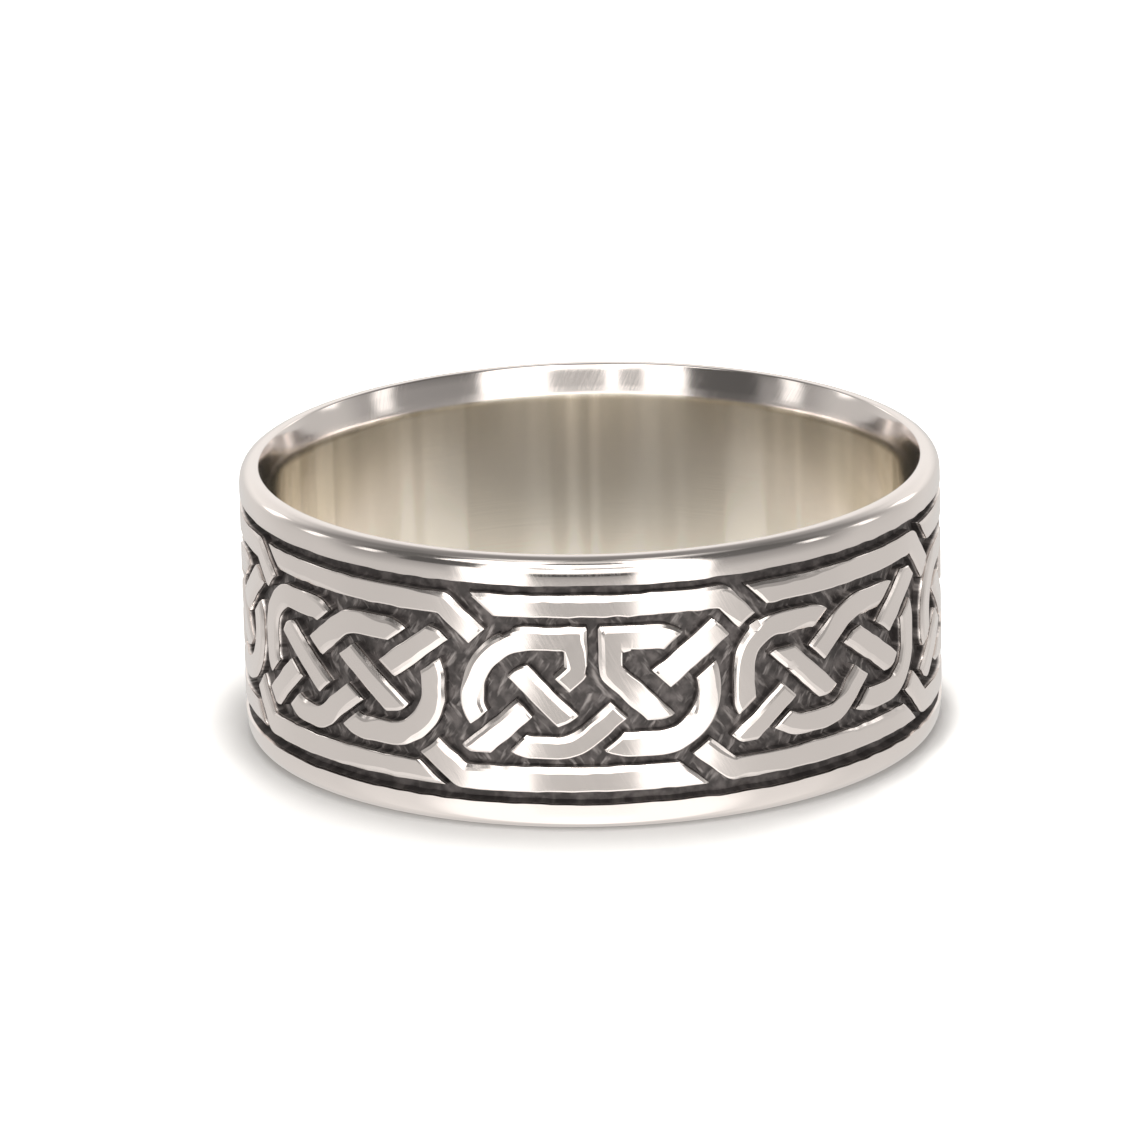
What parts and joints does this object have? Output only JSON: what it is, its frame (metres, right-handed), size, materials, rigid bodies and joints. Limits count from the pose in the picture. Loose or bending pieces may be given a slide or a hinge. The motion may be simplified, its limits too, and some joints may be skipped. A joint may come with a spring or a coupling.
{
  "type": "celtic knot ring",
  "caption": "Oxidised silver band ring with a raised celtic interlace running between two plain raised borders, satin polished outside and in the bore.",
  "frame": {"origin": "centre of the lower rim's plane, where the ring stands on a surface", "axes": "+Z along the ring's axis, up out of the bore; -Y is the front, where the interlace has its upright slit"},
  "size_m": [0.0216, 0.0216, 0.0085],
  "materials": {
    "silver": "satin silver, blackened in the sunk ground"
  },
  "bodies": {
    "root": {"band": "silver"}
  },
  "joints": []
}
